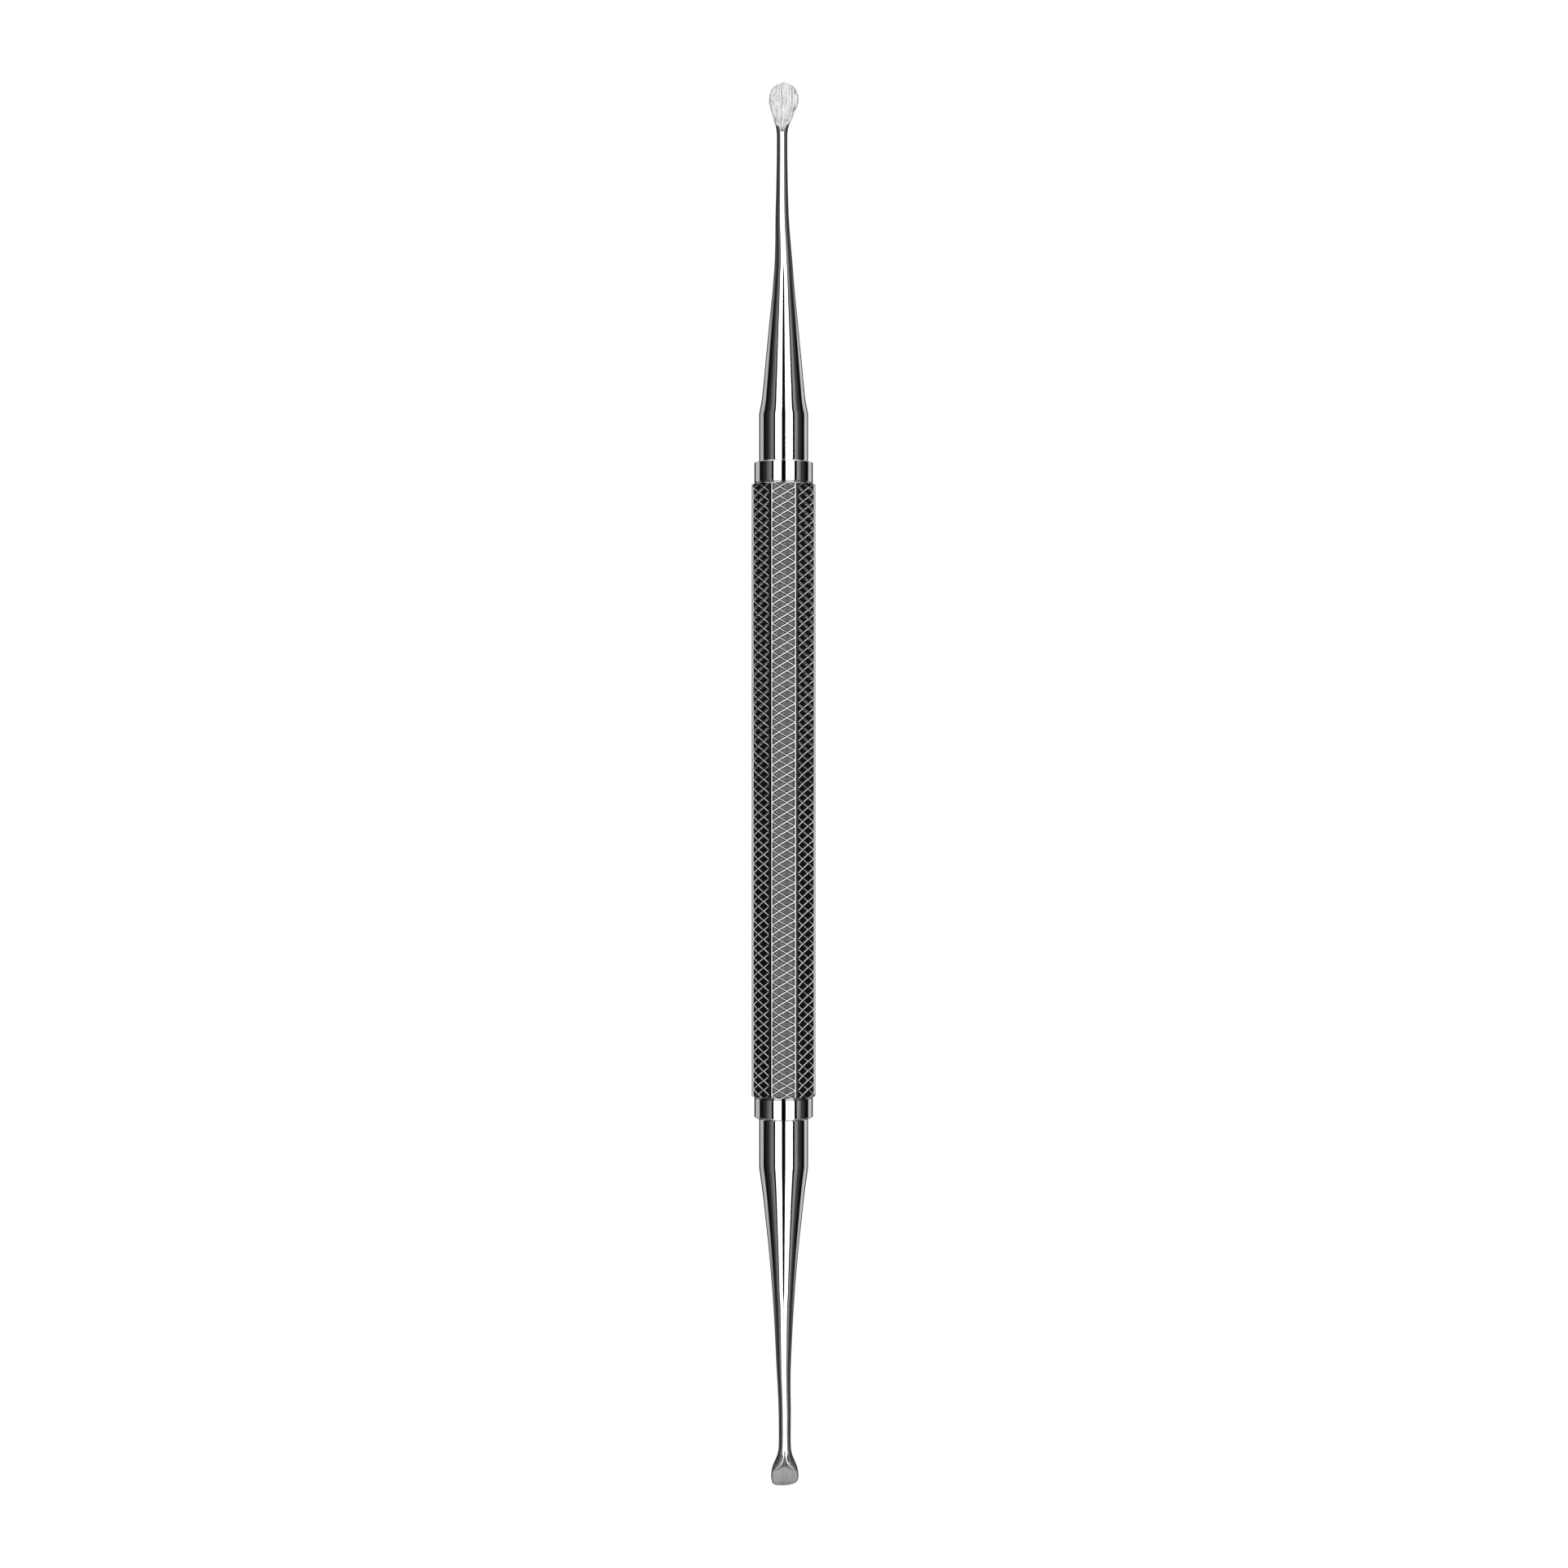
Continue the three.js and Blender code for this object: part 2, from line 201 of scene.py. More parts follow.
def smooth(value, start, end):
    share = clamp((value - start) / (end - start))
    return share * share * (3 - 2 * share)


def mix(a, b, share):
    return a + (b - a) * share


def follow(table, at):
    """A smooth curve through a table's (place, size) pairs."""
    if at <= table[0][0]:
        return table[0][1]
    if at >= table[-1][0]:
        return table[-1][1]
    steps = [(b[0] - a[0], (b[1] - a[1]) / (b[0] - a[0])) for a, b in zip(table, table[1:])]
    slopes = [steps[0][1]]
    for (run, slope), (run_after, slope_after) in zip(steps, steps[1:]):
        slopes.append((slope * run_after + slope_after * run) / (run + run_after))
    slopes.append(0.0)
    i = max(k for k, (place, _) in enumerate(table[:-1]) if place <= at)
    run, _ = steps[i]
    t = (at - table[i][0]) / run
    return (
        table[i][1] * (2 * t ** 3 - 3 * t * t + 1)
        + slopes[i] * run * (t ** 3 - 2 * t * t + t)
        + table[i + 1][1] * (3 * t * t - 2 * t ** 3)
        + slopes[i + 1] * run * (t ** 3 - t * t)
    )


def noise_at(x, y, z):
    return noise.noise(Vector((x, y, z)))


def quarter_sine(share):
    """A share from 0 to 1 that slows down towards 1."""
    return math.sin(share * math.pi / 2)


# ---------------------------------------------------------------- mesh building

class Shape:
    """Points and faces of one piece, with a tint from 0 to 1 at each point for its material to read."""

    def __init__(self):
        self.points = []
        self.tints = []
        self.faces = []
        self.known = {}

    def point(self, x, y, z, tint=0.0):
        self.points.append((x * MM, y * MM, (z + AXIS_HEIGHT) * MM))
        self.tints.append(tint)
        return len(self.points) - 1

    def shared(self, x, y, z, tint=0.0):
        """The same point for every face that meets there."""
        key = (round(x, 4), round(y, 4), round(z, 4))
        if key not in self.known:
            self.known[key] = self.point(x, y, z, tint)
        return self.known[key]

    def face(self, *corners):
        distinct = [c for c, before in zip(corners, corners[-1:] + corners[:-1]) if c != before]
        if len(distinct) > 2:
            self.faces.append(distinct)

    def strip(self, ring, after, closed=True):
        """Quads between two rows of points of the same length."""
        last = len(ring) if closed else len(ring) - 1
        for i in range(last):
            j = (i + 1) % len(ring)
            self.face(ring[i], ring[j], after[j], after[i])

    def loft(self, rings, ends=True):
        for ring, after in zip(rings, rings[1:]):
            self.strip(ring, after)
        if ends:
            self.faces.append(list(rings[0]))
            self.faces.append(list(rings[-1]))

    def piece(self, name, material, slot, *nodes, crease=40):
        mesh = bpy.data.meshes.new(name)
        mesh.from_pydata(self.points, [], self.faces)
        tint = mesh.attributes.new("tint", "FLOAT", "POINT")
        tint.data.foreach_set("value", self.tints)
        work = bmesh.new()
        work.from_mesh(mesh)
        bmesh.ops.recalc_face_normals(work, faces=work.faces)
        work.to_mesh(mesh)
        work.free()
        mesh.shade_smooth()
        mesh.set_sharp_from_angle(angle=math.radians(crease))
        mesh.materials.append(material)
        made = bpy.data.objects.new(name, mesh)
        bpy.context.scene.collection.objects.link(made)
        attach(made, "root")
        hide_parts(*nodes)
        return made


def section(angle, crest):
    """A point of a unit circle, or of one drawn in a little so that it has a faint crest on top."""
    lean = math.sin(crest)
    turn = math.asin(abs(math.sin(angle)))
    turn = crest + turn * (1 - crest / (math.pi / 2))
    across = math.copysign((math.sin(turn) - lean) / (1 - lean), math.sin(angle))
    return across, math.copysign(math.cos(turn) / math.cos(crest), math.cos(angle))


# Satin and painted shade on the sides of a neck, by how far across it a point lies
def side_tint(across, satin_shade):
    return satin_shade * smooth(abs(across), *SATIN_SHADE_EDGE)


def circle(shape, y, radius, x=0.0, crest=0.0, satin_shade=0.0):
    ring = []
    for i in range(ROUND_SIDES):
        across, up = section(2 * math.pi * i / ROUND_SIDES, crest)
        ring.append(shape.point(x + radius * across, y, radius * up, side_tint(across, satin_shade)))
    return ring


def eased(profile, radius, steps=5):
    """A profile with each corner between its two ends rounded, and held straight next to the rounding."""
    result = [profile[0]]
    for before, corner, after in zip(profile, profile[1:], profile[2:]):
        here = Vector(corner)
        back, on = Vector(before) - here, Vector(after) - here
        reach = min(radius, back.length * 0.45, on.length * 0.45)
        start, end = here + back.normalized() * reach, here + on.normalized() * reach
        result.append(tuple(here + back.normalized() * min(reach * 1.6, back.length * 0.5)))
        for k in range(steps + 1):
            t = k / steps
            result.append(tuple(start * (1 - t) ** 2 + here * 2 * t * (1 - t) + end * t * t))
        result.append(tuple(here + on.normalized() * min(reach * 1.6, on.length * 0.5)))
    result.append(profile[-1])
    return result


# ---------------------------------------------------------------- materials

def node_material(name):
    material = bpy.data.materials.new(name)
    material.use_nodes = True
    nodes = material.node_tree.nodes
    return material, nodes, material.node_tree.links, nodes["Principled BSDF"]


def noise_node(nodes, links, scale, stretch=(1, 1, 1), detail=4.0, roughness=0.55):
    """Noise in object space, with scale in features per millimetre and stretched along the axes given."""
    place = nodes.new("ShaderNodeTexCoord")
    mapping = nodes.new("ShaderNodeMapping")
    mapping.inputs["Scale"].default_value = [scale / MM / s for s in stretch]
    texture = nodes.new("ShaderNodeTexNoise")
    texture.inputs["Scale"].default_value = 1.0
    texture.inputs["Detail"].default_value = detail
    texture.inputs["Roughness"].default_value = roughness
    links.new(place.outputs["Object"], mapping.inputs["Vector"])
    links.new(mapping.outputs["Vector"], texture.inputs["Vector"])
    return texture.outputs["Fac"]


def tint_node(nodes):
    tint = nodes.new("ShaderNodeAttribute")
    tint.attribute_name = "tint"
    return tint.outputs["Fac"]


def ramp_node(nodes, links, source, stops):
    """Maps a number through (place, value) stops, each value a grey level or a colour."""
    ramp = nodes.new("ShaderNodeValToRGB")
    elements = ramp.color_ramp.elements
    while len(elements) < len(stops):
        elements.new(0.5)
    for element, (place, value) in zip(elements, stops):
        element.position = place
        element.color = (*value, 1) if isinstance(value, tuple) else (value, value, value, 1)
    links.new(source, ramp.inputs["Fac"])
    return ramp.outputs["Color"]


def mix_node(nodes, links, share, a, b):
    blend = nodes.new("ShaderNodeMix")
    blend.data_type = "RGBA"
    for socket, value in ((blend.inputs["Factor"], share), (blend.inputs["A"], a), (blend.inputs["B"], b)):
        if isinstance(value, bpy.types.NodeSocket):
            links.new(value, socket)
        else:
            socket.default_value = (*value, 1)
    return blend.outputs["Result"]


def math_node(nodes, links, operation, a, b):
    work = nodes.new("ShaderNodeMath")
    work.operation = operation
    for socket, value in zip(work.inputs, (a, b)):
        if isinstance(value, bpy.types.NodeSocket):
            links.new(value, socket)
        else:
            socket.default_value = value
    return work.outputs["Value"]


def bump_node(nodes, links, shader, height, strength, distance):
    bump = nodes.new("ShaderNodeBump")
    bump.inputs["Strength"].default_value = strength
    bump.inputs["Distance"].default_value = distance * MM
    links.new(height, bump.inputs["Height"])
    links.new(bump.outputs["Normal"], shader.inputs["Normal"])


# Roughness that hand polishing adds towards the tips, against the share of the tool's half length
NECK_SOFTNESS = ((0.69, 0.0), (0.75, 0.07))
SATIN_ROUGHNESS = 0.36  # added where the steel is satin


def polished_steel(name, brush, roughness):
    """Polished stainless steel with faint marks drawn out along the stretch given, and a slight haze.

    Where the tint is 0.6 the steel is left satin grey, rougher and with its base colour painted darker as
    shade, and painted shade darkens it further from there to 1, nearly to black.
    """
    material, nodes, links, shader = node_material(name)
    shader.inputs["Metallic"].default_value = 1.0
    haze = noise_node(nodes, links, 0.35, detail=3)
    marks = noise_node(nodes, links, 9.0, stretch=brush, detail=3, roughness=0.7)
    satin_shade = tint_node(nodes)
    clean = ramp_node(nodes, links, haze, ((0.3, (0.60, 0.605, 0.61)), (0.7, (0.66, 0.66, 0.665))))
    # Satin grey, its base colour darker than the clean steel's: partly painted shade
    dull_grey_shade = ramp_node(nodes, links, marks, ((0.3, (0.18, 0.18, 0.182)), (0.7, (0.22, 0.22, 0.223))))
    share = ramp_node(nodes, links, satin_shade, ((0.0, 0.0), (0.6, 1.0)))
    # Painted shade, darkening the steel nearly to black as the tint goes from 0.6 to 1
    shade_to_black = ramp_node(nodes, links, satin_shade, ((0.6, 0.0), (1.0, 0.8)))
    colour = mix_node(nodes, links, shade_to_black, mix_node(nodes, links, share, clean, dull_grey_shade), (0.02, 0.02, 0.02))
    links.new(colour, shader.inputs["Base Color"])
    gloss = math_node(nodes, links, "MULTIPLY_ADD", haze, 0.5)
    gloss.node.inputs[2].default_value = 0.75
    gloss = math_node(nodes, links, "MULTIPLY", gloss, roughness)
    place = nodes.new("ShaderNodeTexCoord")
    split = nodes.new("ShaderNodeSeparateXYZ")
    links.new(place.outputs["Object"], split.inputs["Vector"])
    reach = math_node(nodes, links, "ABSOLUTE", split.outputs["Y"], 0.0)
    reach = math_node(nodes, links, "DIVIDE", reach, HALF_LENGTH * MM)
    softness = ramp_node(nodes, links, reach, NECK_SOFTNESS)
    satin_rough = math_node(nodes, links, "MULTIPLY", share, SATIN_ROUGHNESS)
    rough = math_node(nodes, links, "ADD", gloss, satin_rough)
    links.new(math_node(nodes, links, "ADD", rough, softness), shader.inputs["Roughness"])
    bump_node(nodes, links, shader, marks, 0.06, 0.002)
    return material


def knurled_steel():
    """Bright worn ridges over pits painted dark as shade, their walls nearly black. The tint is 0 on a ridge
    and 1 on a pit's floor.
    """
    material, nodes, links, shader = node_material("knurled_steel")
    shader.inputs["Metallic"].default_value = 1.0
    depth = tint_node(nodes)
    grain = noise_node(nodes, links, 14.0, detail=4, roughness=0.65)
    patches = noise_node(nodes, links, 0.6, detail=3)
    floor = ramp_node(nodes, links, patches, ((0.3, (0.13, 0.131, 0.134)), (0.7, (0.17, 0.17, 0.174))))
    # Painted shade: below a tint of 0.88 the pits' dark is nearly black, on their walls and on every painted
    # dark line
    wall = ramp_node(nodes, links, depth, ((0.88, 0.12), (0.99, 1.0)))
    dark = mix_node(nodes, links, wall, (0.0, 0.0, 0.0), floor)
    bright = ramp_node(nodes, links, grain, ((0.3, (0.40, 0.403, 0.406)), (0.6, (0.47, 0.47, 0.473))))
    edge = ramp_node(nodes, links, depth, ((0.28, 0.0), (0.42, 1.0)))
    links.new(mix_node(nodes, links, edge, bright, dark), shader.inputs["Base Color"])
    rough = ramp_node(nodes, links, depth, ((0.2, 0.08), (0.7, 0.29)))
    links.new(math_node(nodes, links, "ADD", rough, math_node(nodes, links, "MULTIPLY", grain, 0.02)),
              shader.inputs["Roughness"])
    coarse = ramp_node(nodes, links, depth, ((0.3, 0.15), (0.9, 1.0)))
    bump_node(nodes, links, shader, math_node(nodes, links, "MULTIPLY", grain, coarse), 0.25, 0.006)
    return material


def rasp_coat():
    """Frosted pale coat of the file faces, greyer in its grooves and at its edges with painted shade, where
    the tint goes up to 1.
    """
    material, nodes, links, shader = node_material("rasp_coat")
    shader.inputs["Metallic"].default_value = 0.25
    grain = noise_node(nodes, links, 16.0, stretch=(1, 2.5, 1), detail=3, roughness=0.6)
    worn = ramp_node(nodes, links, grain, ((0.35, (0.50, 0.50, 0.50)), (0.6, (0.63, 0.63, 0.63))))
    colour = mix_node(nodes, links, tint_node(nodes), worn, (0.17, 0.17, 0.172))
    links.new(colour, shader.inputs["Base Color"])
    links.new(ramp_node(nodes, links, grain, ((0.3, 0.55), (0.7, 0.38))), shader.inputs["Roughness"])
    bump_node(nodes, links, shader, grain, 0.5, 0.02)
    return material


def floor_material():
    material, nodes, links, shader = node_material("pale_floor")
    tone = noise_node(nodes, links, 0.01, detail=2)
    links.new(ramp_node(nodes, links, tone, ((0.3, 0.2), (0.7, 0.22))), shader.inputs["Base Color"])
    shader.inputs["Roughness"].default_value = 0.9
    shader.inputs["Specular IOR Level"].default_value = 0.1
    shader.inputs["Emission Color"].default_value = (1, 1, 1, 1)
    shader.inputs["Emission Strength"].default_value = 0.88
    return material


# ---------------------------------------------------------------- knurled grip

def skin(facet, s, height=0.0):
    """x and z of a point on the rounded octagon: s runs along the facet from its middle, and height out."""
    bend = clamp((abs(s) - FLAT_HALF) / ROUNDING, 0, EIGHTH)
    past = max(0.0, abs(s) - FLAT_HALF - ROUNDING * EIGHTH)
    reach = ROUNDING + height
    along = math.copysign(min(abs(s), FLAT_HALF) + reach * math.sin(bend) + past * math.cos(EIGHTH), s)
    out = GRIP_FLATS / 2 - ROUNDING + reach * math.cos(bend) - past * math.sin(EIGHTH)
    turn = facet * math.pi / 4
    return along * math.cos(turn) + out * math.sin(turn), out * math.cos(turn) - along * math.sin(turn)


def chamfer_depth(radius):
    """How far from the end face the turned chamfer cuts a bar of this radius."""
    return max(0.0, radius - END_FACE_RADIUS) / END_CONE


def trimmed(cell, normal, limit):
    """A convex cell of ((s, y), kind of the edge that starts there), cut back to normal . point <= limit."""
    kept = []
    for (point, kind), (after, _) in zip(cell, cell[1:] + cell[:1]):
        here = limit - normal[0] * point[0] - normal[1] * point[1]
        there = limit - normal[0] * after[0] - normal[1] * after[1]
        if here >= 0:
            kept.append((point, kind))
        if (here > 0 > there) or (here < 0 < there):
            share = here / (here - there)
            cut = (mix(point[0], after[0], share), mix(point[1], after[1], share))
            kept.append((cut, kind if here < 0 else "end"))
    return kept


def end_cuts():
    """The chamfer's curved edge on a facet, as straight cuts at each end of the grip: (normal, limit)."""
    cuts = []
    for side, end in ((1, GRIP_TOP), (-1, GRIP_BOTTOM)):
        places = [mix(-KNURL_EDGE, KNURL_EDGE, i / END_CUT_STEPS) for i in range(END_CUT_STEPS + 1)]
        edge = [(s, end - side * chamfer_depth(math.hypot(GRIP_FLATS / 2, s))) for s in places]
        for (s0, y0), (s1, y1) in zip(edge, edge[1:]):
            slope = (y1 - y0) / (s1 - s0)
            normal = (-slope * side, side)
            cuts.append((normal, normal[0] * s0 + normal[1] * y0))
    return cuts


def lattice_cells(facet):
    """Every diamond and half diamond of one facet, before the ends are cut."""
    phase = KNURL_PHASE + 1.5 * facet * KNURL_PITCH
    first = math.floor((GRIP_BOTTOM - phase) / KNURL_PITCH) - 2
    last = math.ceil((GRIP_TOP - phase) / KNURL_PITCH) + 1

    def crossing(column, y):
        wander = KNURL_DRIFT[0] + KNURL_DRIFT[1] * smooth(y, 0, GRIP_TOP)
        return ((-KNURL_EDGE, -KNURL_COLUMN + wander, KNURL_COLUMN + wander, KNURL_EDGE)[column], y)

    for column in range(4):
        for row in range(first, last + 1):
            low_y = phase + (row + column / 2) * KNURL_PITCH
            low, high = crossing(column, low_y), crossing(column, low_y + KNURL_PITCH)
            middle = low_y + KNURL_PITCH / 2
            if column == 0:
                yield [(low, "rising"), (crossing(1, middle), "falling"), (high, "border")]
            elif column == 3:
                yield [(low, "border"), (high, "rising"), (crossing(2, middle), "falling")]
            else:
                right, left = crossing(column + 1, middle), crossing(column - 1, middle)
                yield [(low, "rising"), (right, "falling"), (high, "rising"), (left, "falling")]


def split_share(facet, kind, y):
    """How far a ridge is split in two, from 0 to 1."""
    if facet % 2 == 0 or kind != ("falling" if facet < 4 else "rising"):
        return 0.0
    return smooth(y, SPLIT_FROM, SPLIT_FULL)


def sink_pit(shape, facet, cell, rim):
    """Adds one cell of the knurl: the ridges' inner halves round it, the walls and the floor."""
    level = facet % 4 == 0
    corners = [point for point, _ in cell]
    middle = (sum(p[0] for p in corners) / len(cell), sum(p[1] for p in corners) / len(cell))
    edges = []
    outline = []
    for i, (point, kind) in enumerate(cell):
        after = corners[(i + 1) % len(cell)]
        run = (after[0] - point[0], after[1] - point[1])
        length = math.hypot(*run)
        if length < 1e-6:
            continue
        inward = (-run[1] / length, run[0] / length)
        room = inward[0] * (middle[0] - point[0]) + inward[1] * (middle[1] - point[1])
        half = RIDGE_HALF[kind] * (1.0 if level else SIDE_RIDGES)
        split = split_share(facet, kind, (point[1] + after[1]) / 2)
        edges.append((inward, room, half, split))
        at_rim = kind == "end" or cell[i - 1][1] == "end"
        outline.append((point, 0.0, True, at_rim))
        if length > BARE_EDGE:
            for share, amount in SPLIT_STEPS if split else (SPLIT_STEPS[0], SPLIT_STEPS[-1]):
                place = (point[0] + run[0] * share, point[1] + run[1] * share)
                outline.append((place, split * amount, False, kind == "end"))

    widest = max(wall for _, wall, _ in PIT_RINGS)
    thickest = [(room, mix(half, SPLIT_HALF, split)) for _, room, half, split in edges]
    fit = min(1.0, min(room / (half + PIT_WALL * widest) for room, half in thickest) * PIT_FIT)
    vary = noise_at(facet * 7.3, middle[0] * 3, middle[1] * 2.1)
    depth = PIT_DEPTH * fit * (1 + DEPTH_VARIES * vary)
    rings = []
    for number, (crest, wall, drop) in enumerate(PIT_RINGS):
        ring = []
        for (s, y), split, is_corner, at_rim in outline:
            step = (s - middle[0], y - middle[1])
            reach = 1.0
            for inward, room, half, parted in edges:
                towards = inward[0] * step[0] + inward[1] * step[1]
                if towards < -1e-9:
                    here = split if parted else 0.0
                    share = mix(crest, SPLIT_RINGS[number][0], here) if number < len(SPLIT_RINGS) else crest
                    inset = (mix(half, SPLIT_HALF, here) * share + PIT_WALL * wall) * fit
                    reach = min(reach, (room - inset) / -towards)
            if number == 0:
                reach = 1.0
            elif is_corner:
                reach *= 1 - CORNER_PULL * number
            sunk = SPLIT_RINGS[number][1] * split if number < len(SPLIT_RINGS) else 0.0
            x, z = skin(facet, middle[0] + step[0] * reach, -depth * drop - sunk)
            at = middle[1] + step[1] * reach
            # Painted shade: the groove of a split ridge, and each pit darkened with its depth
            groove_shade = SPLIT_GROOVE_SHADE * split if number < GROOVE_SHADE_RINGS else 0.0
            tint = max(drop if level else min(drop, SIDE_PIT_SHADE), groove_shade)
            index = shape.shared(x, at, z, tint) if number == 0 else shape.point(x, at, z, tint)
            if number == 0 and at_rim:
                rim[at > 0].add(index)
            ring.append(index)
        rings.append(ring)
    for ring, after in zip(rings, rings[1:]):
        shape.strip(ring, after)
    x, z = skin(facet, middle[0], -depth)
    centre = shape.point(x, middle[1], z, 1.0 if level else SIDE_PIT_SHADE)
    floor = rings[-1]
    for i, index in enumerate(floor):
        shape.face(index, floor[(i + 1) % len(floor)], centre)


def border_rows(shape, facet, side):
    """The lattice's border points on one side of a facet, from the bottom of the grip up."""
    x, z = skin(facet, side * KNURL_EDGE)
    key = (round(x, 4), round(z, 4))
    rows = [(y, index) for (px, y, pz), index in shape.known.items() if (px, pz) == key]
    return sorted(rows)


def corner_shade(x, z):
    """Tint of a corner: a line of painted shade on the side of it that faces away from the front or back
    flat.
    """
    lean = math.degrees(math.atan2(abs(x), abs(z)))
    return CORNER_SHADE if CORNER_SHADE_LEAN[0] < lean < CORNER_SHADE_LEAN[1] else 0.0


def corner_band(shape, facet, rim):
    """The smooth rounded corner between a facet and the next."""
    rows = border_rows(shape, facet, 1)
    opposite = border_rows(shape, facet + 1, -1)
    assert len(rows) == len(opposite), (len(rows), len(opposite))
    columns = [[index for _, index in rows]]
    for step in range(1, BAND_STEPS):
        s = mix(KNURL_EDGE, 2 * CORNER_ARC - KNURL_EDGE, step / BAND_STEPS)
        x, z = skin(facet, s) if s <= CORNER_ARC else skin(facet + 1, s - 2 * CORNER_ARC)
        cut = chamfer_depth(math.hypot(x, z))
        low, high = GRIP_BOTTOM + cut, GRIP_TOP - cut
        column = []
        for i, (y, _) in enumerate(rows):
            left = len(rows) - 1 - i
            if left == 0:
                place = high
            elif i == 0:
                place = low
            else:
                place = clamp(y, low + BAND_GAP * i, high - BAND_GAP * left)
            column.append(shape.point(x, place, z, corner_shade(x, z)))
        rim[False].add(column[0])
        rim[True].add(column[-1])
        columns.append(column)
    columns.append([index for _, index in opposite])
    for column, after in zip(columns, columns[1:]):
        shape.strip(column, after, closed=False)


def knurled_grip(material):
    """The grip's skin and end faces. The bore, which the collars close, has no wall."""
    shape = Shape()
    rim = {True: set(), False: set()}
    cuts = end_cuts()
    for facet in range(8):
        for cell in lattice_cells(facet):
            for normal, limit in cuts:
                if any(normal[0] * p[0] + normal[1] * p[1] > limit for p, _ in cell):
                    cell = trimmed(cell, normal, limit)
                if len(cell) < 3:
                    break
            if len(cell) >= 3:
                sink_pit(shape, facet, cell, rim)
    for facet in range(8):
        corner_band(shape, facet, rim)

    def around(index):
        x, _, z = shape.points[index]
        return math.atan2(x, z - AXIS_HEIGHT * MM)

    for is_top, end in ((False, GRIP_BOTTOM), (True, GRIP_TOP)):
        loop = sorted(rim[is_top], key=around)
        for radius in (END_FACE_RADIUS, END_FACE_RADIUS - END_LIP, GRIP_BORE):
            ring = []
            for index in loop:
                angle = around(index)
                ring.append(shape.point(radius * math.sin(angle), end, radius * math.cos(angle)))
            shape.strip(loop, ring)
            loop = ring
    return shape.piece("knurled_grip", material, "knurled_steel", "grip_tube", crease=50)


# ---------------------------------------------------------------- collars and shanks

def collar(name, node, face, side, bevel, material):
    """A polished ring on the grip's end face, with a bevelled outer edge and a short spigot in the bore."""
    ring = face + side * COLLAR_LENGTH
    spigot = face - side * SPIGOT_LENGTH
    foot_wide, foot_long = COLLAR_FOOT
    profile = eased(
        [
            (SOCKET_RADIUS, spigot),
            (SPIGOT_RADIUS, spigot),
            (SPIGOT_RADIUS, face),
            (COLLAR_RADIUS - foot_wide, face),
            (COLLAR_RADIUS, face + side * foot_long),
            (COLLAR_RADIUS, ring - side * bevel * BEVEL_STEEPNESS),
            (COLLAR_RADIUS - bevel, ring),
            (SOCKET_RADIUS, ring),
        ],
        COLLAR_ROUNDING,
    )
    shape = Shape()
    rings = [circle(shape, y, radius) for radius, y in profile]
    shape.loft(rings, ends=False)
    shape.strip(rings[-1], rings[0])
    return shape.piece(name, material, "polished_steel", node, crease=60)


def base_rings(shape, face, side):
    """The end of the tang, the shoulder and the plain base of a shank."""
    start = face + side * SHOULDER_GAP
    bevel_wide, bevel_long = BASE_BEVEL
    point_radius, point_length = TANG_POINT
    profile = eased(
        [
            (point_radius, face - side * TANG_LENGTH),
            (TANG_RADIUS, face - side * (TANG_LENGTH - point_length)),
            (TANG_RADIUS, start),
            (BASE_RADIUS - bevel_wide, start),
            (BASE_RADIUS, start + side * bevel_long),
            (BASE_RADIUS, face + side * BASE_LENGTH),
        ],
        BASE_ROUNDING,
    )
    return [circle(shape, y, radius) for radius, y in profile]


def neck_satin_shade(y, most):
    """The sides of the necks are less polished, and painted shade darkens them."""
    return most * smooth(y, 42, 58)


def neck_crest(y):
    """Half angle of the faint crest that is left on a neck where it is rubbed down from both sides."""
    return NECK_CREST * smooth(y, 52.3, 54)


def file_sway(y):
    return FILE_SWAY * (smooth(y, 53, 59.5) - FILE_SWAY_BACK * smooth(y, PADDLE_ROOT, PADDLE_WIDEST))


def taper_places(start, end):
    return [mix(start, end, i / TAPER_STEPS) for i in range(TAPER_STEPS + 1)]


def paddle_half_width(y, right=False):
    """Half width of the paddle. It is a little slimmer on its right side below the widest place."""
    place, reach, depth = NOTCH
    slimmer = depth * smooth(reach - abs(y - place), 0, reach) if right else 0.0
    return follow(PADDLE_OUTLINE, y) - slimmer


def file_shank(material):
    shape = Shape()
    rings = base_rings(shape, GRIP_TOP + COLLAR_LENGTH, 1)
    neck = FILE_TAPER[-1][0]
    for y in taper_places(FILE_TAPER_START, neck):
        radius, satin_shade = follow(FILE_TAPER, y), neck_satin_shade(y, FILE_SATIN_SHADE)
        rings.append(circle(shape, y, radius, x=file_sway(y), crest=neck_crest(y), satin_shade=satin_shade))
    for i in range(1, PADDLE_STEPS + 1):
        y = mix(neck, FILE_TIP - 0.3, quarter_sine(i / PADDLE_STEPS))
        flat = follow(PADDLE_FLAT, y)
        ring = []
        for k in range(ROUND_SIDES):
            angle = 2 * math.pi * k / ROUND_SIDES
            wide = paddle_half_width(y, angle < math.pi) - RASP_WRAP * smooth(y, RASP_START, RASP_FULL)
            across, up = section(angle, neck_crest(y))
            z = clamp(FILE_NECK * up, -flat, flat)
            satin_shade = side_tint(across, neck_satin_shade(y, FILE_SATIN_SHADE))
            ring.append(shape.point(file_sway(y) + max(wide, 0.1) * across, y, z, satin_shade))
        rings.append(ring)
    shape.loft(rings)
    return shape.piece("polished_file_shank", material, "polished_steel", "file_shank", crease=60)


